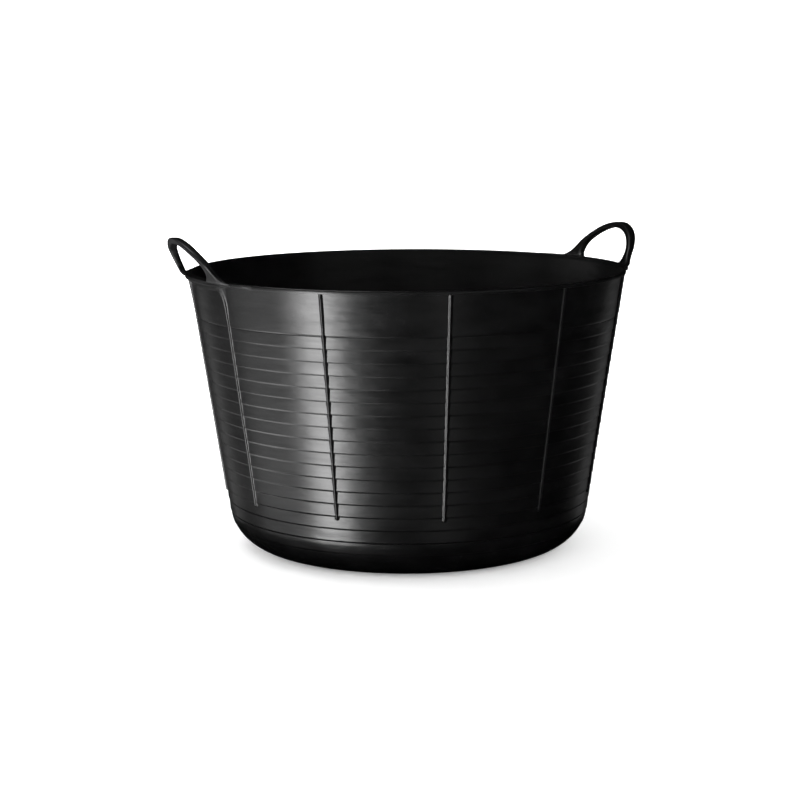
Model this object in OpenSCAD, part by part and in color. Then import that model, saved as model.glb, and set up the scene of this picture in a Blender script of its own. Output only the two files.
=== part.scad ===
// Flexible mixing tub: a tapered, ringed wall on a rounded base, twelve ribs and two loop handles.
// +Z is up, the origin is at the centre of the surface that the tub stands on,
// and the handles are on -X (left) and +X (right). Millimetres.

/* [Tub] */
// Diameter across the rim
rim_d = 570; // [480:1:640]
// Diameter that the wall's taper would reach at the ground
base_d = 460; // [400:1:470]
// Height of the rim above the ground
tub_h = 365; // [340:1:400]
// Thickness of the wall
wall_t = 3.2; // [2.5:0.1:4]
// Thickness of the floor
floor_t = 4; // [3:0.1:6]
// Outside radius of the rounded edge between floor and wall
corner_r = 57; // [50:1:65]
// Height of the part of that edge that turns in under the tub
turn_h = 9; // [7:0.5:12]

/* [Foot ring] */
// Depth of the ring that the tub stands on
foot_h = 2.5; // [1.5:0.1:4]
// Width of that ring
foot_w = 9; // [6:0.5:14]

/* [Rings] */
// Height of the lowest ring line
ring_first = 33; // [30:0.1:36]
// Distance between ring lines
ring_pitch = 16.2; // [15:0.1:17]
// Number of ring lines
ring_count = 18; // [16:1:18]
// How far each band overhangs the band below it
ring_step = 0.7; // [0.3:0.1:1]

/* [Rim] */
// Height of the thickened lip
lip_h = 5; // [4:0.5:8]
// Thickness of the lip
lip_t = 4.8; // [4:0.1:6]

/* [Ribs] */
// Angle from a handle's middle to the rib on each side of it
flank_angle = 13.6; // [13:0.1:15]
// Angle from one rib to the next, counted from the left handle
rib_angle = 31.6; // [30:0.1:32.5]
// Ribs on each long side between the two handles, without the ribs beside the handles
side_ribs = 4; // [2:1:4]
// How far a rib stands out of the wall
rib_h = 2.2; // [1.5:0.1:4]
// Angle of a rib's two flanks
rib_slope = 40; // [30:1:60]
// Radius of a rib's crest
rib_crest = 0.7; // [0.4:0.1:1]
// Height of a rib's lower end
rib_bottom = 77; // [70:1:90]
// Height of the gusset at the top of each rib beside a handle
gusset_h = 46; // [30:1:60]
// Width of that gusset
gusset_w = 5; // [3:0.5:8]

/* [Handles] */
// Angle that the left handle leans outward at rest
lean_left = 25; // [20:0.5:36]
// Angle that the right handle leans outward at rest
lean_right = 29.5; // [20:0.5:36]
// Distance from the tub's axis to the middle of a handle's root
handle_r = 293; // [288:0.5:298]
// Length of a handle along its lean, from the rim to the crown
loop_rise = 57; // [50:0.5:64]
// Length along the lean from the rim to the hand hole's top
hole_rise = 48; // [40:0.5:52]
// Width of the hand hole at its widest
hole_w = 117; // [110:1:128]
// Height along the lean at which the hand hole is widest
hole_mid = 14; // [10:1:20]
// Width of the hand hole at the rim, between its rounded lower corners
hole_foot_w = 92; // [84:1:110]
// Width of a handle where its legs turn into flared feet
loop_w = 139; // [134:1:146]
// Width over the flared feet
feet_w = 173; // [166:1:182]
// Thickness of a handle at the rim
root_t = 10; // [8:0.5:10.5]
// Thickness of a handle at its crown
crown_t = 11; // [10:0.5:14]
// Height of the bar that joins a handle's feet, below the rim
bar_h = 8; // [7:0.5:12]
// How far that bar stands out of the lip
bar_out = 6.4; // [4:0.1:9]

/* [Hidden] */
$fn = 96;
LEFT = 180;
RIGHT = 0;
rim_r = rim_d / 2;
base_r = base_d / 2;
taper = atan((rim_r - base_r) / tub_h);
corner_cr = base_r - corner_r * tan((90 - taper) / 2);
ring_second = ring_first + ring_pitch;
ring_top = ring_first + (ring_count - 1) * ring_pitch;
lip_bottom = tub_h - lip_h;
lip_round = 1.5;
lip_out = 0.6;
rib_top = lip_bottom - 0.5;
bar_r = rim_r + lip_out + bar_out;
bar_bottom = tub_h - bar_h;
bar_past_feet = 0.3;
bar_half_angle = asin(feet_w / 2 / bar_r) + bar_past_feet;
bar_edge = 1.2;
gusset_inset = 1.5;
gusset_bow = 0.7;
rib_root = 4;
rib_w = 2 * ((rib_h - rib_crest) * cos(rib_slope) + rib_crest) / sin(rib_slope);
flex_r = 9.5;
flex_gap = 0.35;
flex_up = 6;
leg_mid = 69;
over = 20;
reach = 400;

// Outside radius of the tapered wall at height z, without its ring steps.
function wall_r(z) = rim_r - (tub_h - z) * tan(taper);

// Outline of one band of the wall, from ring line z0 to z1: its foot overhangs the band below.
module band_profile(z0, z1, foot_step, head_step) {
    polygon([
        [wall_r(z0) + foot_step, z0],
        [wall_r(z1) - head_step, z1],
        [wall_r(z1) - wall_t, z1],
        [wall_r(z0) - wall_t, z0]
    ]);
}

// A slice of the rounded edge's section, between heights z0 and z1, with outside radius r.
module corner_slice(z0, z1, r) {
    intersection() {
        difference() {
            translate([corner_cr, corner_r]) circle(r);
            translate([corner_cr, corner_r]) circle(corner_r - wall_t);
        }
        translate([corner_cr, z0]) square([corner_r * 2, z1 - z0]);
    }
}

module floor_panel() {
    color("#1b1c1e")
        translate([0, 0, foot_h])
            cylinder(r = corner_cr, h = floor_t);
}

module foot_ring() {
    color("#161719")
        difference() {
            cylinder(r = corner_cr, h = foot_h);
            translate([0, 0, -1]) cylinder(r = corner_cr - foot_w, h = foot_h + 2);
        }
}

module edge_turn() {
    color("#191a1c")
        rotate_extrude() corner_slice(0, turn_h, corner_r);
}

module base_corner() {
    color("#1d1e20")
        rotate_extrude() corner_slice(turn_h, ring_first, corner_r);
}

module lowest_band() {
    color("#202124")
        rotate_extrude() corner_slice(ring_first, ring_second, corner_r + ring_step);
}

module side_wall() {
    color("#232427")
        rotate_extrude()
            for (k = [1 : ring_count - 2]) {
                z0 = ring_first + k * ring_pitch;
                band_profile(z0, z0 + ring_pitch, ring_step / 2, ring_step / 2);
            }
}

module upper_band() {
    color("#26282b")
        rotate_extrude() band_profile(ring_top, lip_bottom, ring_step / 2, 0);
}

module rim_lip() {
    inner = rim_r + lip_out - lip_t;
    color("#2b2d30")
        rotate_extrude() {
            translate([inner, lip_bottom]) square([lip_t, lip_h - lip_round]);
            translate([inner + lip_round, lip_bottom]) square([lip_t - 2 * lip_round, lip_h]);
            translate([inner + lip_round, tub_h - lip_round]) circle(lip_round);
            translate([inner + lip_t - lip_round, tub_h - lip_round]) circle(lip_round);
        }
}

// A rib on the wall at one angle round the tub, up to height top. It follows the taper.
module rib(angle, top) {
    rotate([0, 0, angle])
        difference() {
            intersection() {
                translate([wall_r(rib_bottom), 0, rib_bottom])
                    rotate([0, taper, 0])
                        rib_bar((top - rib_bottom) / cos(taper) + rib_w);
                translate([0, -rim_r, rib_bottom]) cube([reach, rim_d, top - rib_bottom]);
            }
            wall_cut();
        }
}

// The rib's bar before it is cut to the wall: a ridge with two sloping flanks and a round crest.
module rib_bar(length) {
    crest_x = rib_h - rib_crest;
    linear_extrude(length) {
        translate([crest_x, 0]) circle(rib_crest);
        polygon([
            [-rib_root, -rib_w / 2],
            [0, -rib_w / 2],
            [crest_x + rib_crest * cos(rib_slope), -rib_crest * sin(rib_slope)],
            [crest_x + rib_crest * cos(rib_slope), rib_crest * sin(rib_slope)],
            [0, rib_w / 2],
            [-rib_root, rib_w / 2]
        ]);
    }
}

// Everything inside the wall's outer face, ring steps included, so that a rib meets it face to face.
module wall_cut() {
    rotate_extrude($fn = 360)
        union() {
            for (k = [1 : ring_count - 2]) {
                z0 = ring_first + k * ring_pitch;
                polygon([
                    [0, z0],
                    [wall_r(z0) + ring_step / 2, z0],
                    [wall_r(z0 + ring_pitch) - ring_step / 2, z0 + ring_pitch],
                    [0, z0 + ring_pitch]
                ]);
            }
            polygon([
                [0, ring_top],
                [wall_r(ring_top) + ring_step / 2, ring_top],
                [wall_r(tub_h + over), tub_h + over],
                [0, tub_h + over]
            ]);
        }
}

// The gusset at the top of a rib beside a handle: it curves outward to carry the handle's foot.
module gusset(angle) {
    steps = 12;
    start = bar_bottom - gusset_h;
    foot_r = wall_r(start) + rib_h - 1;
    spread = bar_r - gusset_inset - foot_r;
    points = [
        for (i = [0 : steps])
            let (t = i / steps * 90)
                [
                    foot_r + spread * (gusset_bow * (1 - cos(t)) + (1 - gusset_bow) * i / steps),
                    start + gusset_h * sin(t)
                ]
    ];
    rotate([0, 0, angle])
        difference() {
            rotate([90, 0, 0])
                linear_extrude(gusset_w, center = true)
                    polygon(concat(points, [
                        [wall_r(start) - 2 * rib_root, bar_bottom],
                        [wall_r(start) - 2 * rib_root, start]
                    ]));
            wall_cut();
        }
}

// A point on a cubic curve that leaves p0 towards p1 and reaches p3 from p2.
function curve(p0, p1, p2, p3, t) =
    pow(1 - t, 3) * p0 + 3 * t * pow(1 - t, 2) * p1 + 3 * t * t * (1 - t) * p2 + pow(t, 3) * p3;

// Outline of the whole handle on its leaning face: y across, z along the lean from the rim.
// Each half is a concave flare from the rim to the leg, and then a round arch over to the crown.
module handle_outline() {
    flare_steps = 7;
    arch_steps = 16;
    tip = [feet_w / 2, 0];
    leg = [loop_w / 2, loop_rise * 0.38];
    crown = [0, loop_rise];
    half = [
        for (i = [0 : flare_steps - 1])
            curve(tip, tip - [8, -1.5], leg + [5, -12], leg, i / flare_steps),
        for (i = [0 : arch_steps])
            curve(leg, leg + [-12, 16], crown + [34, -0.5], crown, i / arch_steps)
    ];
    last = len(half) - 1;
    difference() {
        polygon(concat(
            half,
            [for (i = [last - 1 : -1 : 0]) [-half[i][0], half[i][1]]],
            [[-feet_w / 2, -1], [feet_w / 2, -1]]
        ));
        hole_outline();
    }
}

// The hand hole: it opens upward from rounded corners at the rim and arches over to its top.
module hole_outline() {
    corner_steps = 7;
    arch_steps = 12;
    foot = [hole_foot_w / 2, 0];
    side = [hole_w / 2, hole_mid];
    crown = [0, hole_rise];
    half = [
        [foot[0], -over],
        for (i = [0 : corner_steps - 1])
            curve(foot, foot + [6, 3], side + [0, -6], side, i / corner_steps),
        for (i = [0 : arch_steps])
            curve(side, side + [-1, 14], crown + [30, 0], crown, i / arch_steps)
    ];
    last = len(half) - 1;
    polygon(concat(half, [for (i = [last - 1 : -1 : 0]) [-half[i][0], half[i][1]]]));
}

// Section of the leaning band that a handle is cut from, swept round the tub's axis.
module lean_profile(lean) {
    translate([handle_r, tub_h])
        rotate(-lean)
            polygon([
                [-root_t / 2, -8],
                [root_t / 2, -8],
                [crown_t / 2, loop_rise - 3],
                [crown_t / 2 - 3, loop_rise + 4],
                [-crown_t / 2 + 3, loop_rise + 4],
                [-crown_t / 2, loop_rise - 3]
            ]);
}

// The whole handle on +X, from the rim up.
module handle_solid(lean) {
    intersection() {
        rotate_extrude() lean_profile(lean);
        translate([200, 0, tub_h])
            rotate([90, 0, 90])
                linear_extrude(200) scale([1, cos(lean)]) handle_outline();
        translate([0, -reach, tub_h]) cube([reach, 2 * reach, 100]);
    }
}

// Distance from the tub's middle to the line that a handle's legs bend about.
function flex_x(lean) = sqrt(pow(handle_r + flex_up * tan(lean), 2) - leg_mid * leg_mid);

// The part of a handle that stays with the rim: everything below the line that the legs bend
// about, and a round bar along that line. The moving part is cut with grow as its clearance.
module fixed_zone(lean, grow) {
    width = feet_w + over;
    translate([flex_x(lean), 0, tub_h + flex_up]) {
        rotate([90, 0, 0]) cylinder(r = flex_r + grow, h = width, center = true);
        rotate([0, lean, 0]) translate([-reach, -width / 2, -reach]) cube([2 * reach, width, reach]);
    }
}

// The part of a handle that moves.
module loop(side, lean) {
    color("#202124")
        rotate([0, 0, side])
            difference() {
                handle_solid(lean);
                fixed_zone(lean, flex_gap);
            }
}

// One flared foot of a handle, on +Y (end 1) or -Y (end -1) of it.
module foot(side, lean, end) {
    color("#26272a")
        rotate([0, 0, side])
            intersection() {
                handle_solid(lean);
                fixed_zone(lean, 0);
                translate([0, end > 0 ? 0 : -reach, 0]) cube([reach, reach, 2 * reach]);
            }
}

// The bar that stands out of the lip and joins a handle's two feet.
module root_bar(side) {
    inner = rim_r + lip_out;
    color("#303236")
        rotate([0, 0, side - bar_half_angle])
            rotate_extrude(angle = 2 * bar_half_angle)
                polygon([
                    [inner, tub_h],
                    [bar_r - bar_edge, tub_h],
                    [bar_r, tub_h - bar_edge],
                    [bar_r - 1, bar_bottom],
                    [wall_r(bar_bottom), bar_bottom],
                    [wall_r(lip_bottom), lip_bottom],
                    [inner, lip_bottom]
                ]);
}

// A rib between the handles, on the front (end 1) or the back (end -1).
module side_rib(end, index) {
    color("#2a2c2f") rib(LEFT + end * (flank_angle + index * rib_angle), rib_top);
}

// A rib and its gusset beside a handle.
module flank_rib(angle) {
    color("#2a2c2f") {
        rib(angle, bar_bottom);
        gusset(angle);
    }
}

floor_panel();
foot_ring();
edge_turn();
base_corner();
lowest_band();
side_wall();
upper_band();
rim_lip();
flank_rib(LEFT + flank_angle);  // left_front_flank_rib
flank_rib(LEFT - flank_angle);  // left_back_flank_rib
flank_rib(RIGHT - flank_angle);  // right_front_flank_rib
flank_rib(RIGHT + flank_angle);  // right_back_flank_rib
side_rib(1, 1);  // front_rib_1
side_rib(1, 2);  // front_rib_2
side_rib(1, 3);  // front_rib_3
side_rib(1, 4);  // front_rib_4
side_rib(-1, 4);  // back_rib_1
side_rib(-1, 3);  // back_rib_2
side_rib(-1, 2);  // back_rib_3
side_rib(-1, 1);  // back_rib_4
root_bar(LEFT);  // left_root_bar
root_bar(RIGHT);  // right_root_bar
foot(LEFT, lean_left, 1);  // left_front_foot
foot(LEFT, lean_left, -1);  // left_back_foot
foot(RIGHT, lean_right, -1);  // right_front_foot
foot(RIGHT, lean_right, 1);  // right_back_foot
loop(LEFT, lean_left);  // left_loop
loop(RIGHT, lean_right);  // right_loop
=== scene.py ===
import bpy
import math
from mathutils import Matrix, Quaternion, Vector


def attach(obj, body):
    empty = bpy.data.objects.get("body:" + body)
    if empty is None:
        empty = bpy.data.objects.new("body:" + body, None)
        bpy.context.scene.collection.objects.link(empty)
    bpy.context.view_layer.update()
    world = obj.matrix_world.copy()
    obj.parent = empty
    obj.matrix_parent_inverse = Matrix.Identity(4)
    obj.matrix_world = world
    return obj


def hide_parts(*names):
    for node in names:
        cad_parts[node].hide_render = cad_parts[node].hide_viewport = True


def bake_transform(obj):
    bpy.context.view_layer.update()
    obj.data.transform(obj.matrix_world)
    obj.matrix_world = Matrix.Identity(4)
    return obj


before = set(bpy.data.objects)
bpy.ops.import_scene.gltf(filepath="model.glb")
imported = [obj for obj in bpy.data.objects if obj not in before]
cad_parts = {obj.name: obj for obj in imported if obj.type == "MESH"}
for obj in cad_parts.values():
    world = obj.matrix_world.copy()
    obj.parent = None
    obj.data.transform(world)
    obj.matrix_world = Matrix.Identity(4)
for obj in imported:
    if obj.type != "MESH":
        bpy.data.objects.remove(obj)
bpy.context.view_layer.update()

# ---------------------------------------------------------------- dimensions, in millimetres and degrees
# tub
RIM_R = 285.0
BASE_R = 230.0
TUB_H = 365.0
WALL_T = 3.2
FLOOR_T = 4.0
CORNER_R = 57.0
FOOT_H = 2.5
FOOT_W = 9.0
# ring lines
RING_FIRST = 33.0
RING_PITCH = 16.2
RING_COUNT = 18
# lip
LIP_H = 5.0
LIP_T = 4.8
LIP_OUT = 0.55
LIP_OUTER_ROUND = 1.9
LIP_INNER_ROUND = 1.5
# ribs: the flank ribs stand beside the handles, the others in steps from them
FLANK_ANGLE = 13.6
RIB_ANGLE = 31.6
RIB_H = 2.2
RIB_SLOPE = 40.0
RIB_CREST = 0.7
RIB_BOTTOM = 77.0
GUSSET_H = 46.0
GUSSET_SWEEP = 12.0
GUSSET_SWEEP_H = 28.0
# root bars: the ends say, as shares of the half length, where the bar starts to fade out, and where its
# slope starts and ends to narrow
BAR_OUT = 6.4
BAR_SLOPE = 12.5
BAR_FADE = 8.0  # degrees that the bar runs on past the feet
BAR_ENDS = {"left": (0.7, 0.36, 0.66), "right": (0.8, 0.75, 1.0)}
# handles: the lean is from upright, the bow is how far the legs bend outward, and the tips tuck in
LEAN = {"left": 25.0, "right": 29.5}
BOW = {"left": 0.0, "right": 1.8}
TIP_IN = {"left": 2.0, "right": 0.0}
HANDLE_R = 293.0
LOOP_RISE = 57.0
LOOP_W = 139.0
FEET_W = 173.0
TIP_PAST = 5.5
HOLE_RISE = 48.0
HOLE_W = 115.0
HOLE_MID = 14.0
HOLE_FOOT_W = {"left": 86.0, "right": 100.0}
ROOT_THICK = 7.4
CROWN_THICK = 10.4
ROOT_DEPTH = 4.5

TAPER = math.atan((RIM_R - BASE_R) / TUB_H)
CORNER_CR = BASE_R - CORNER_R * math.tan((math.pi / 2 - TAPER) / 2)
LIP_BOTTOM = TUB_H - LIP_H
RING_SECOND = RING_FIRST + RING_PITCH
RING_TOP = RING_FIRST + (RING_COUNT - 1) * RING_PITCH
AROUND = 288  # steps round the tub


def wall_r(z):
    """Outer radius of the plain tapered wall at a height."""
    return RIM_R - (TUB_H - z) * math.tan(TAPER)


def smooth(a, b, x):
    """0 at a to 1 at b with soft ends; a may be the greater."""
    t = min(1.0, max(0.0, (x - a) / (b - a)))
    return t * t * (3 - 2 * t)


def mix(a, b, t):
    """The value the share t of the way from a to b."""
    return a + (b - a) * t


# ---------------------------------------------------------------- mesh helpers
def make(name, verts, faces, sharp=40.0):
    """A mesh object from points in millimetres, smooth except over edges sharper than the angle."""
    mesh = bpy.data.meshes.new(name)
    mesh.from_pydata([(x * 0.001, y * 0.001, z * 0.001) for x, y, z in verts], [], faces)
    mesh.validate()
    mesh.update()
    mesh.shade_smooth()
    mesh.set_sharp_from_angle(angle=math.radians(sharp))
    obj = bpy.data.objects.new(name, mesh)
    bpy.context.scene.collection.objects.link(obj)
    return obj


def revolve(name, profile):
    """A closed section of (radius, height) points turned all the way round. It runs clockwise in r, z."""
    n = len(profile)
    verts, faces = [], []
    for i in range(AROUND):
        a = 2 * math.pi * i / AROUND
        c, s = math.cos(a), math.sin(a)
        for r, z in profile:
            verts.append((r * c, r * s, z))
    for i in range(AROUND):
        j = (i + 1) % AROUND
        for k in range(n):
            m = (k + 1) % n
            faces.append((i * n + k, i * n + m, j * n + m, j * n + k))
    return make(name, verts, faces)


def loft(name, rows, sharp=40.0):
    """Skin over rows of points, each of them a closed loop. Both ends are capped."""
    n = len(rows[0])
    verts = [p for row in rows for p in row]
    faces = []
    for i in range(len(rows) - 1):
        for k in range(n):
            m = (k + 1) % n
            faces.append((i * n + k, (i + 1) * n + k, (i + 1) * n + m, i * n + m))
    faces.append(tuple(range(n)))
    faces.append(tuple((len(rows) - 1) * n + k for k in reversed(range(n))))
    return make(name, verts, faces, sharp)


# ---------------------------------------------------------------- the moulded wall
def band(z0, bead):
    """One band from its foot up, as heights and how far each stands off the plain taper: a small bead,
    a slow lean inward, and at the top the groove under the next band's foot."""
    shape = [(0.0, -0.20), (0.5, -0.10), (1.0, 0.08), (1.5, 0.21 + bead), (2.0, 0.27 + bead),
             (2.6, 0.27 + bead * 0.6), (3.6, 0.23), (6.0, 0.14), (9.0, 0.03), (12.0, -0.08),
             (14.0, -0.16), (15.2, -0.22), (15.8, -0.27)]
    return [(z0 + s, offset) for s, offset in shape]


def bead_height(ring):
    """The bead over a ring line, which is bolder low on the wall."""
    return mix(0.14, 0.02, smooth(0.3, 0.7, ring / RING_COUNT))


def outer_wall():
    """Outer face of the upright wall from the second ring line to the lip, from the bottom up."""
    points = []
    for k in range(1, RING_COUNT - 1):
        foot = RING_FIRST + k * RING_PITCH
        points += [(wall_r(z) + offset, z) for z, offset in band(foot, bead_height(k))]
    points += [(wall_r(z) + offset, z) for z, offset in band(RING_TOP, 0.03)[:5]]
    for s in (4, 7, 12, 18, 26, 34, 42, 48, 51.4):
        points.append((wall_r(RING_TOP + s) + 0.3 * (1 - smooth(0, 30, s)), RING_TOP + s))
    return points


def split_wall(points, z0, z1):
    """The points from z0 up to just below z1."""
    return [p for p in points if z0 - 1e-6 <= p[1] < z1 - 1e-6]


def build_tub():
    """The round pieces of the tub, each with its body, the nodes it replaces and its material slot."""
    wall = outer_wall()
    lower = split_wall(wall, RING_SECOND, RING_TOP)
    upper = split_wall(wall, RING_TOP, LIP_BOTTOM)
    pieces = []

    def inner_wall(za, zb, n):
        return [(wall_r(mix(za, zb, i / n)) - WALL_T, mix(za, zb, i / n)) for i in range(n + 1)]

    profile = lower + [(wall_r(RING_TOP) - 0.5, RING_TOP)] + inner_wall(RING_TOP, RING_SECOND, 16)
    pieces.append(("tub_side_wall", profile, ["side_wall"], "tub_plastic"))
    profile = upper + [(wall_r(LIP_BOTTOM), LIP_BOTTOM)] + inner_wall(LIP_BOTTOM, RING_TOP, 4)
    pieces.append(("tub_upper_band", profile, ["upper_band"], "tub_plastic"))

    # rounded edge, with its ring line
    turn = math.pi / 2 - TAPER

    def edge_r(z):
        return CORNER_CR + math.sqrt(CORNER_R ** 2 - (CORNER_R - z) ** 2)

    shaped = []
    for i in range(29):
        a = turn * i / 28
        z = CORNER_R - CORNER_R * math.cos(a)
        if z < RING_FIRST - 2.5:
            shaped.append((CORNER_CR + CORNER_R * math.sin(a), z))
    for s, offset in ((-1.4, -0.04), (-0.8, -0.11), (-0.3, -0.17)):
        shaped.append((edge_r(RING_FIRST + s) + offset, RING_FIRST + s))
    shaped += [(edge_r(z) + offset, z) for z, offset in band(RING_FIRST, bead_height(0))]
    inner = []
    inside = CORNER_R - WALL_T
    for i in range(25):
        a = turn * (1 - i / 24)
        inner.append((CORNER_CR + inside * math.sin(a), CORNER_R - inside * math.cos(a)))
    inner = [p for p in inner if p[1] < RING_SECOND - 0.2]
    profile = shaped + [(wall_r(RING_SECOND) - WALL_T, RING_SECOND)] + inner
    nodes = ["edge_turn", "base_corner", "lowest_band"]
    pieces.append(("tub_rounded_edge", profile, nodes, "tub_plastic"))

    # lip with rolled edges
    outer_r, inner_r = RIM_R + LIP_OUT, RIM_R + LIP_OUT - LIP_T
    profile = [(outer_r - 0.5, LIP_BOTTOM), (outer_r - 0.12, LIP_BOTTOM + 0.25), (outer_r, LIP_BOTTOM + 0.7)]
    for i in range(9):
        a, big = math.pi / 2 * i / 8, LIP_OUTER_ROUND
        profile.append((outer_r - big + big * math.cos(a), TUB_H - big + big * math.sin(a)))
    for i in range(9):
        a, small = math.pi / 2 * i / 8, LIP_INNER_ROUND
        profile.append((inner_r + small - small * math.sin(a), TUB_H - small + small * math.cos(a)))
    profile.append((inner_r, LIP_BOTTOM))
    pieces.append(("tub_rim_lip", profile, ["rim_lip"], "rim_plastic"))

    # floor, with a shallow moulding mark in the middle
    top = FOOT_H + FLOOR_T
    profile = [(CORNER_CR, FOOT_H), (CORNER_CR, top)]
    for r, z in ((172, 0), (171, -0.3), (169, -0.35), (150, -0.35), (100, -0.3), (62, -0.3), (60.5, 0),
                 (59, 0), (57.5, -0.3), (30, -0.25), (14, -0.25), (12.5, 0), (11, 0), (9.5, -0.5),
                 (4.5, -0.5), (3.8, 0.0), (2.6, 0.0), (0.02, -0.1)):
        profile.append((r, top + z))
    profile += [(0.02, FOOT_H + 0.4), (20, FOOT_H + 0.4), (21, FOOT_H), (120, FOOT_H), (170, FOOT_H)]
    pieces.append(("tub_floor", profile, ["floor_panel"], "tub_plastic"))

    # thin ring that the tub stands on
    r0, r1 = CORNER_CR - FOOT_W, CORNER_CR
    profile = [(r1 - 0.6, 0.0), (r1 - 0.15, 0.2), (r1, 0.7), (r1, FOOT_H), (r0, FOOT_H), (r0, 0.6),
               (r0 + 0.6, 0.0)]
    pieces.append(("tub_foot_ring", profile, ["foot_ring"], "tub_plastic"))

    return [(revolve(name, profile), "tub", nodes, slot) for name, profile, nodes, slot in pieces]


# ---------------------------------------------------------------- ribs
def rib_rows(angle, z_top, height, half_width, sweep=lambda z: 0.0):
    """Rows of points up a rib: two sloping flanks, a round crest and a soft fillet where it meets the wall.
    sweep moves the crest along the wall, which widens the flank that it leaves behind."""
    a = math.radians(angle)
    heights = [RIB_BOTTOM + RIB_H * (1 - math.cos(math.pi / 2 * i / 6)) for i in range(7)]
    z = heights[-1] + 4
    while z < z_top - 1:
        heights.append(z)
        z += 6.0 if z < z_top - GUSSET_H - 6 else 1.6
    heights.append(z_top)
    rows = []
    for z in heights:
        end = min(1.0, max(0.0, (z - RIB_BOTTOM) / RIB_H))
        round_end = math.sqrt(max(0.0, 1 - (1 - end) ** 2))
        h = max(0.06, height(z) * round_end)
        b = half_width(z) * (0.3 + 0.7 * round_end)
        crest = min(RIB_CREST, b * 0.3)
        shift = sweep(z)
        section = []
        for sign in (-1, 1):
            foot = b + max(0.0, sign * shift)
            top = crest + sign * shift
            flank = [(foot + 0.7, -1.2), (foot + 0.7, -0.25), (foot + 0.1, -0.05)]
            for t, y in ((0.28, 0.13), (0.48, 0.30), (0.65, 0.62), (0.8, 0.84)):
                flank.append((mix(foot, top, t), y * h))
            flank = [(sign * x, y) for x, y in flank]
            if sign < 0:
                section += flank
                for i in range(5):
                    t = math.radians(mix(-48, 48, i / 4))
                    round_x, round_y = crest * 1.25 * math.sin(t), crest * 0.9 * (1 - math.cos(t))
                    section.append((shift + round_x, h - round_y))
            else:
                section += reversed(flank)
        row = []
        for x, y in section:
            r = wall_r(z) + y
            turn = a + x / wall_r(z)
            row.append((r * math.cos(turn), r * math.sin(turn), z))
        rows.append(row)
    return rows


def build_ribs():
    """Eight plain ribs, and the four flank ribs that grow into gussets under the handles' feet."""
    made = []
    slope = math.radians(RIB_SLOPE)
    half = ((RIB_H - RIB_CREST) * math.cos(slope) + RIB_CREST) / math.sin(slope)
    for end, side in ((1, "front"), (-1, "back")):
        for i in range(1, 5):
            angle = 180 + end * (FLANK_ANGLE + i * RIB_ANGLE)
            rows = rib_rows(angle, LIP_BOTTOM - 0.2, lambda z: RIB_H, lambda z: half)
            obj = loft(f"tub_{side}_rib_{i}", rows)
            node = f"{side}_rib_{i}" if end > 0 else f"{side}_rib_{5 - i}"
            made.append((obj, "tub", [node], "tub_plastic"))
    top = LIP_BOTTOM
    start = top - GUSSET_H

    def share(z):
        return min(1.0, max(0.0, (z - start) / GUSSET_H))

    def flank_h(z):
        t = share(z)
        return RIB_H + (BAR_OUT - 1.2 - RIB_H) * (0.35 * t + 0.65 * t ** 4)

    def flank_half(z):
        return half + 1.2 * share(z)

    def sweep(inner_side):
        high = GUSSET_SWEEP_H
        return lambda z: inner_side * GUSSET_SWEEP * max(0.0, (z - top + high) / high) ** 2.2

    corners = ((180 + FLANK_ANGLE, "left_front", -1), (180 - FLANK_ANGLE, "left_back", 1),
               (-FLANK_ANGLE, "right_front", 1), (FLANK_ANGLE, "right_back", -1))
    for angle, node, inner_side in corners:
        rows = rib_rows(angle, top, flank_h, flank_half, sweep(inner_side))
        made.append((loft(f"tub_{node}_flank_rib", rows), "tub", [f"{node}_flank_rib"], "tub_plastic"))
    return made


# ---------------------------------------------------------------- root bars
def build_bars():
    """The thickened rim under each handle: a rounded top, a short upright face and a long slope below."""
    made = []
    inner = RIM_R + LIP_OUT
    half = math.degrees(math.asin(FEET_W / 2 / (inner + BAR_OUT))) + BAR_FADE
    for side, centre in (("left", 180.0), ("right", 0.0)):
        fade, narrow_from, narrow_to = BAR_ENDS[side]
        rows = []
        for i in range(73):
            u = 2 * i / 72 - 1
            a = math.radians(centre + half * u)
            out = BAR_OUT * (1 - smooth(fade, 1.0, abs(u))) + 0.05
            low = TUB_H - mix(BAR_SLOPE, LIP_H + 0.4, smooth(narrow_from, narrow_to, abs(u)))
            brow = mix(low, TUB_H - 1.4, 0.62)
            section = [(inner - 2.4, TUB_H - 0.6), (inner - 2.4, LIP_BOTTOM),
                       (wall_r(low) - 0.6, low + 0.5), (wall_r(low) + 0.08, low)]
            for t, reach in ((0.12, 0.10), (0.3, 0.23), (0.5, 0.40), (0.7, 0.62), (0.88, 0.84)):
                z = mix(low, brow, t)
                section.append((mix(wall_r(z) + 0.1, inner + out, reach), z))
            section += [(inner + out * 0.97, brow), (inner + out, mix(brow, TUB_H, 0.3)),
                        (inner + out, TUB_H - 1.8), (inner + out * 0.96, TUB_H - 0.9),
                        (inner + out * 0.84, TUB_H - 0.3), (inner + out * 0.62, TUB_H - 0.05),
                        (inner + out * 0.3, TUB_H), (inner - 1.4, TUB_H - 0.05)]
            rows.append([(r * math.cos(a), r * math.sin(a), z) for r, z in section])
        obj = loft(f"tub_{side}_root_bar", rows, sharp=50)
        made.append((obj, "tub", [f"{side}_root_bar"], "rim_plastic"))
    return made


# ---------------------------------------------------------------- handles
def bezier(p0, p1, p2, p3, t):
    """The point at t on a cubic curve."""
    k = ((1 - t) ** 3, 3 * t * (1 - t) ** 2, 3 * t * t * (1 - t), t ** 3)
    return tuple(sum(w * p[i] for w, p in zip(k, (p0, p1, p2, p3))) for i in (0, 1))


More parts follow.
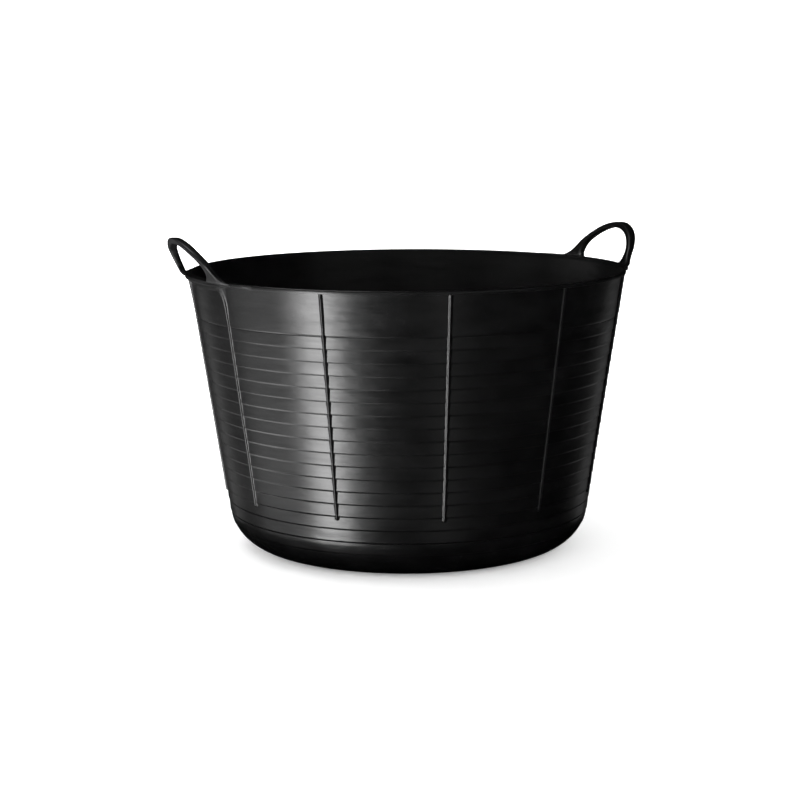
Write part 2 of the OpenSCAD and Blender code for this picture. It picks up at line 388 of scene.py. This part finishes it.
def outer_edge():
    """Half of the handle's outer outline from the foot's tip to the crown: across, up the lean."""
    tip, leg, crown = (FEET_W / 2 + TIP_PAST, -1.0), (LOOP_W / 2, LOOP_RISE * 0.38), (0.0, LOOP_RISE)
    flare = [bezier(tip, (tip[0] - 11, 2.0), (leg[0] + 5, leg[1] - 12), leg, i / 14) for i in range(14)]
    above, beside = (leg[0] - 12, leg[1] + 16), (34.0, LOOP_RISE - 0.5)
    arch = [bezier(leg, above, beside, crown, i / 40) for i in range(41)]
    return flare + arch


def hole_edge(foot_w):
    """Half of the hand hole's outline from its rounded corner at the rim to the crown."""
    foot, side, crown = (foot_w / 2, -1.0), (HOLE_W / 2, HOLE_MID), (0.0, HOLE_RISE)
    corner = [bezier(foot, (foot[0] + 6, 1.5), (side[0], side[1] - 7), side, i / 14) for i in range(14)]
    above, beside = (side[0] - 1, side[1] + 14), (30.0, HOLE_RISE)
    arch = [bezier(side, above, beside, crown, i / 40) for i in range(41)]
    return corner + arch


def along(points, fractions):
    """Points at these fractions of the length of a line of points."""
    lengths = [0.0]
    for a, b in zip(points, points[1:]):
        lengths.append(lengths[-1] + math.dist(a, b))
    found, k = [], 0
    for f in fractions:
        want = f * lengths[-1]
        while k < len(points) - 2 and lengths[k + 1] < want:
            k += 1
        t = (want - lengths[k]) / max(1e-9, lengths[k + 1] - lengths[k])
        found.append(tuple(mix(points[k][i], points[k + 1][i], t) for i in (0, 1)))
    return found


def build_handle(side):
    """The whole handle in one skin: a root that grows out of the bar, a flared foot, a leg, the crown and
    back. Each row holds its outer and inner point on the lean, its thickness and how square it is."""
    lean = math.radians(LEAN[side])
    turn = math.pi if side == "left" else 0.0
    steps, around = 54, 36
    fractions = [i / steps for i in range(steps + 1)]
    outer, hole = along(outer_edge(), fractions), along(hole_edge(HOLE_FOOT_W[side]), fractions)
    rows = []
    for k in range(5, 0, -1):
        t = k / 5
        tip, corner = outer[0], hole[0]
        low = (mix(corner[0], tip[0] - 12, t ** 0.8), corner[1] - 3.5 * t)
        rows.append(((tip[0] - 3 * t * t, tip[1] - ROOT_DEPTH * t), low, mix(ROOT_THICK, 4.0, t), 4.0))
    for o, h, f in zip(outer, hole, fractions):
        thick = mix(ROOT_THICK, CROWN_THICK, smooth(0.0, 0.6, f))
        rows.append((o, h, thick, mix(4.0, 5.0, smooth(0.5, 0.9, f)) - 0.8 * math.sin(math.pi * f)))
    rows += [((-o[0], o[1]), (-h[0], h[1]), thick, power) for o, h, thick, power in reversed(rows[:-1])]
    skin = []
    for o, h, thick, power in rows:
        cy, cu = (o[0] + h[0]) / 2, (o[1] + h[1]) / 2
        hy, hu = (o[0] - h[0]) / 2, (o[1] - h[1]) / 2
        row = []
        for i in range(around):
            t = 2 * math.pi * (i + 0.5) / around
            c, s = math.cos(t), math.sin(t)
            p = math.copysign(abs(c) ** (2 / power), c)
            q = math.copysign(abs(s) ** (2 / power), s)
            y, u, v = cy + hy * p, cu + hu * p, thick / 2 * q
            bow = BOW[side] * (1 - smooth(0.0, LOOP_RISE, u))
            r = HANDLE_R + bow + u * math.sin(lean) + v / math.cos(lean)
            root_in, crown_in = 3.0 * smooth(2.0, -6.0, u), 1.4 * smooth(36.0, LOOP_RISE, u)
            r -= root_in + crown_in + TIP_IN[side] * smooth(74.0, 92.0, abs(y))
            z = TUB_H + u * math.cos(lean)
            x = math.sqrt(r * r - y * y)
            c, s = math.cos(turn), math.sin(turn)
            row.append((x * c - y * s, x * s + y * c, z))
        skin.append(row)
    return loft(f"{side}_handle", skin, sharp=60)


# ---------------------------------------------------------------- materials
class Nodes:
    """A material being wired up: a principled shader, object coordinates and short ways to add nodes."""

    def __init__(self, name):
        self.material = bpy.data.materials.new(name)
        self.material.use_nodes = True
        self.tree = self.material.node_tree
        self.tree.nodes.clear()
        self.out = self.add("ShaderNodeOutputMaterial")
        self.shader = self.add("ShaderNodeBsdfPrincipled")
        self.link(self.shader, "BSDF", self.out, "Surface")
        self.coords = self.add("ShaderNodeTexCoord")

    def add(self, kind, **values):
        node = self.tree.nodes.new(kind)
        for key, value in values.items():
            setattr(node, key, value)
        return node

    def link(self, a, out, b, into):
        self.tree.links.new(a.outputs[out], b.inputs[into])

    def noise(self, scale, stretch=(1, 1, 1), detail=4.0, rough=0.55):
        mapping = self.add("ShaderNodeMapping")
        mapping.inputs["Scale"].default_value = stretch
        self.link(self.coords, "Object", mapping, "Vector")
        node = self.add("ShaderNodeTexNoise")
        node.inputs["Scale"].default_value = scale
        node.inputs["Detail"].default_value = detail
        node.inputs["Roughness"].default_value = rough
        self.link(mapping, "Vector", node, "Vector")
        return node

    def spread(self, source, low, high, to_low, to_high, out="Fac"):
        node = self.add("ShaderNodeMapRange")
        for key, value in (("From Min", low), ("From Max", high), ("To Min", to_low), ("To Max", to_high)):
            node.inputs[key].default_value = value
        self.link(source, out, node, "Value")
        return node

    def combine(self, kind, a, b, out_a="Result", out_b="Result"):
        node = self.add("ShaderNodeMath", operation=kind)
        for i, (source, out) in enumerate(((a, out_a), (b, out_b))):
            if isinstance(source, (int, float)):
                node.inputs[i].default_value = source
            else:
                self.tree.links.new(source.outputs[out if out in source.outputs else 0], node.inputs[i])
        return node

    def bump(self, height, strength, distance, before=None, out=0):
        node = self.add("ShaderNodeBump")
        node.inputs["Strength"].default_value = strength
        node.inputs["Distance"].default_value = distance
        self.tree.links.new(height.outputs[out], node.inputs["Height"])
        if before:
            self.link(before, "Normal", node, "Normal")
        return node


def plastic(name, dark, light, rough_low, rough_high, streaks=True, waves=0.8, grain=0.25):
    """Black moulded polyethylene: soft waves, fine drag lines, a faint grain and paler worn edges."""
    n = Nodes(name)
    blotch = n.noise(26.0, (1, 1, 2.3), 2.5, 0.5)
    band = n.noise(6.0, (1, 1, 10.0), 3.0, 0.5)
    streak = n.noise(7.0, (1, 1, 42.0), 6.0, 0.65) if streaks else n.noise(60.0, (1, 1, 1), 5.0, 0.6)
    speck = n.noise(420.0, (1, 1, 1), 2.0, 0.6)

    colour = n.add("ShaderNodeMix", data_type="RGBA")
    colour.inputs[6].default_value = (*dark, 1)
    colour.inputs[7].default_value = (*light, 1)
    tone = n.spread(blotch, 0.3, 0.75, 0.0, 1.0)
    n.link(tone, "Result", colour, "Factor")

    geometry = n.add("ShaderNodeNewGeometry")
    edge = n.spread(geometry, 0.53, 0.62, 0.0, 1.0, out="Pointiness")
    worn = n.combine("MULTIPLY", edge, n.spread(speck, 0.45, 0.65, 0.0, 1.0))
    wear = n.add("ShaderNodeMix", data_type="RGBA")
    wear.inputs[7].default_value = (0.020, 0.020, 0.0205, 1)
    n.tree.links.new(colour.outputs[2], wear.inputs[6])
    n.link(n.combine("MULTIPLY", worn, 0.5), "Value", wear, "Factor")
    n.tree.links.new(wear.outputs[2], n.shader.inputs["Base Color"])

    rough = n.combine("ADD", n.spread(streak, 0.3, 0.7, rough_low, rough_high),
                      n.spread(blotch, 0.3, 0.7, -0.01, 0.025))
    rough = n.combine("ADD", rough, n.spread(band, 0.3, 0.7, -0.015, 0.015), out_a="Value")
    rough = n.combine("ADD", rough, n.combine("MULTIPLY", worn, 0.10), out_a="Value", out_b="Value")
    n.link(rough, "Value", n.shader, "Roughness")

    n.shader.inputs["IOR"].default_value = 1.5
    n.shader.inputs["Specular IOR Level"].default_value = 0.5

    normal = n.bump(band, waves, 0.0009)
    normal = n.bump(blotch, waves, 0.0008, normal)
    normal = n.bump(streak, 0.2, 0.00012 if streaks else 0.0001, normal)
    normal = n.bump(speck, grain, 0.00006, normal)
    n.link(normal, "Normal", n.shader, "Normal")
    return n.material


def floor_material():
    """White paper that glows a little, more so away from the tub, so that the background stays white."""
    n = Nodes("studio_paper")
    fine = n.noise(3.0, (1, 1, 1), 3.0, 0.5)
    colour = n.add("ShaderNodeMix", data_type="RGBA")
    colour.inputs[6].default_value = (0.90, 0.90, 0.90, 1)
    colour.inputs[7].default_value = (0.93, 0.93, 0.93, 1)
    n.link(fine, "Fac", colour, "Factor")
    n.tree.links.new(colour.outputs[2], n.shader.inputs["Base Color"])
    n.shader.inputs["Roughness"].default_value = 0.9
    n.shader.inputs["Specular IOR Level"].default_value = 0.1
    n.shader.inputs["Emission Color"].default_value = (1, 1, 1, 1)
    length = n.add("ShaderNodeVectorMath", operation="LENGTH")
    n.link(n.coords, "Object", length, 0)
    glow = n.spread(length, 0.45, 1.5, 0.20, 1.0, out="Value")
    n.link(glow, "Result", n.shader, "Emission Strength")
    return n.material


BLACK, BLACK_WORN = (0.0010, 0.0010, 0.0011), (0.0024, 0.0024, 0.0026)
RIM_BLACK, RIM_WORN = (0.0012, 0.0012, 0.0013), (0.0028, 0.0028, 0.0030)
MATERIALS = {
    "tub_plastic": plastic("tub_black_polyethylene", BLACK, BLACK_WORN, 0.295, 0.345),
    "rim_plastic": plastic("rim_black_polyethylene", RIM_BLACK, RIM_WORN, 0.295, 0.345, waves=0.3),
    "handle_plastic": plastic("handle_black_polyethylene", BLACK, BLACK_WORN, 0.32, 0.44,
                              streaks=False, waves=0.3, grain=0.5),
}

# ---------------------------------------------------------------- camera
AZIMUTH = math.radians(-23.5)  # of the camera, from straight in front of the tub
CAMERA_AWAY, CAMERA_UP = 2.565, 0.615
PITCH, ROLL = 0.1646, -0.0051  # radians
LENS, SHIFT_X = 88.07, -0.0104
camera = bpy.data.objects.new("camera", bpy.data.cameras.new("camera"))
bpy.context.scene.collection.objects.link(camera)
bpy.context.scene.camera = camera
camera.location = (math.sin(AZIMUTH) * CAMERA_AWAY, -math.cos(AZIMUTH) * CAMERA_AWAY, CAMERA_UP)
look = Vector((-math.sin(AZIMUTH) * math.cos(PITCH), math.cos(AZIMUTH) * math.cos(PITCH), -math.sin(PITCH)))
camera.rotation_mode = "QUATERNION"
upright = look.to_track_quat("-Z", "Y")
upright.rotate(Quaternion(look, -ROLL))
camera.rotation_quaternion = upright
camera.data.sensor_width = 36.0
camera.data.lens = LENS
camera.data.shift_x = SHIFT_X
camera.data.clip_end = 100.0


# ---------------------------------------------------------------- the object
def finish_piece(obj, body, nodes, slot):
    """Give a piece its material, the nodes it replaces and, unless it bends, the body it rides on."""
    obj.data.materials.append(MATERIALS[slot])
    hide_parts(*nodes)
    if body:
        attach(obj, body)


for item in build_tub() + build_ribs() + build_bars():
    finish_piece(*item)

for side, sign in (("left", -1), ("right", 1)):
    handle = build_handle(side)
    feet = [f"{side}_front_foot", f"{side}_back_foot"]
    finish_piece(handle, None, [f"{side}_loop"] + feet, "handle_plastic")
    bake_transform(handle)

# ---------------------------------------------------------------- studio
def stage_mesh():
    """A pale floor that curves up into a wall far behind the object, all the way round."""
    around = 96
    sections = [(0.0, 0.0)] + [(r, 0.0) for r in (0.5, 1, 2, 3, 4.5, 6)]
    for i in range(1, 11):
        bend = math.pi / 2 * i / 10
        sections.append((6 + 3 * math.sin(bend), 3 - 3 * math.cos(bend)))
    sections += [(9, 6), (9, 9)]
    verts = [(0, 0, 0)]
    for r, z in sections[1:]:
        for i in range(around):
            a = 2 * math.pi * i / around
            verts.append((r * math.cos(a), r * math.sin(a), z))
    faces = [(0, 1 + i, 1 + (i + 1) % around) for i in range(around)]
    for k in range(len(sections) - 2):
        for i in range(around):
            j = (i + 1) % around
            inner, outer = 1 + k * around, 1 + (k + 1) * around
            faces.append((inner + i, outer + i, outer + j, inner + j))
    mesh = bpy.data.meshes.new("studio_floor")
    mesh.from_pydata(verts, [], faces)
    mesh.update()
    mesh.shade_smooth()
    return mesh


floor = bpy.data.objects.new("studio_floor", stage_mesh())
bpy.context.scene.collection.objects.link(floor)
floor.data.materials.append(floor_material())
floor.visible_glossy = False
floor.visible_shadow = False


def soft_light(name, azimuth, elevation, away, width, height, power, aim=0.2):
    """A soft box at an angle to the camera's line of sight, in degrees: negative is to the left of it."""
    a = AZIMUTH + math.radians(azimuth)
    e = math.radians(elevation)
    data = bpy.data.lights.new(name, "AREA")
    data.shape = "RECTANGLE"
    data.size, data.size_y = width, height
    data.energy = power
    light = bpy.data.objects.new(name, data)
    bpy.context.scene.collection.objects.link(light)
    level = math.cos(e) * away
    light.location = (math.sin(a) * level, -math.cos(a) * level, math.sin(e) * away + aim)
    light.rotation_mode = "QUATERNION"
    light.rotation_quaternion = (Vector((0, 0, aim)) - light.location).to_track_quat("-Z", "Y")
    light.visible_camera = False


# Light that a pale floor throws back at the wall. These boxes stand below the floor, which lets it through.
soft_light("key_bounce", -47, -19, 2.6, 0.78, 1.3, 57)
soft_light("left_bounce", -86, -20, 2.6, 1.3, 1.3, 5.5)
soft_light("far_left_bounce", -118, -20, 2.6, 1.3, 1.3, 0.5)
soft_light("left_back_bounce", -137, -20, 2.6, 0.5, 1.3, 0.9)
soft_light("right_back_bounce", 136, -20, 2.6, 0.7, 1.3, 0.75)
soft_light("front_bounce", 20, -22, 2.6, 0.5, 1.3, 0.9)
soft_light("floor_under_left_handle", -92, -52, 1.5, 0.9, 0.9, 9, aim=0.35)
soft_light("floor_under_front_left", -45, -58, 1.5, 0.8, 0.8, 4, aim=0.35)
for step, azimuth in enumerate((-112, -62, -12, 36)):
    soft_light(f"inside_fill_{step}", azimuth, 7, 3.0, 2.2, 0.8, 2.0)
soft_light("top_left_soft_box", -100, 66, 3.0, 1.4, 1.4, 26)

# A black disc just under the floor, seen only in reflections, keeps the tub's rounded edge dark.
FLAG_R, FLAG_Z, FLAG_SIDES = 0.36, -0.02, 64
flag_mesh = bpy.data.meshes.new("contact_flag")
flag_ring = []
for step in range(FLAG_SIDES):
    flag_turn = 2 * math.pi * step / FLAG_SIDES
    flag_ring.append((FLAG_R * math.cos(flag_turn), FLAG_R * math.sin(flag_turn), FLAG_Z))
flag_mesh.from_pydata(flag_ring, [], [tuple(range(FLAG_SIDES))])
flag = bpy.data.objects.new("contact_flag", flag_mesh)
bpy.context.scene.collection.objects.link(flag)
flag_black = bpy.data.materials.new("flag_black")
flag_black.use_nodes = True
flag_shader = flag_black.node_tree.nodes["Principled BSDF"]
flag_shader.inputs["Base Color"].default_value = (0, 0, 0, 1)
flag_shader.inputs["Specular IOR Level"].default_value = 0.0
flag_mesh.materials.append(flag_black)
flag.visible_camera = False
flag.visible_diffuse = False

world = bpy.data.worlds.new("studio_air")
bpy.context.scene.world = world
world.use_nodes = True
air = world.node_tree.nodes["Background"]
air.inputs["Color"].default_value = (1, 1, 1, 1)
air.inputs["Strength"].default_value = 0.18
world.cycles_visibility.glossy = False

bpy.context.scene.view_settings.view_transform = "Standard"
bpy.context.scene.view_settings.look = "None"
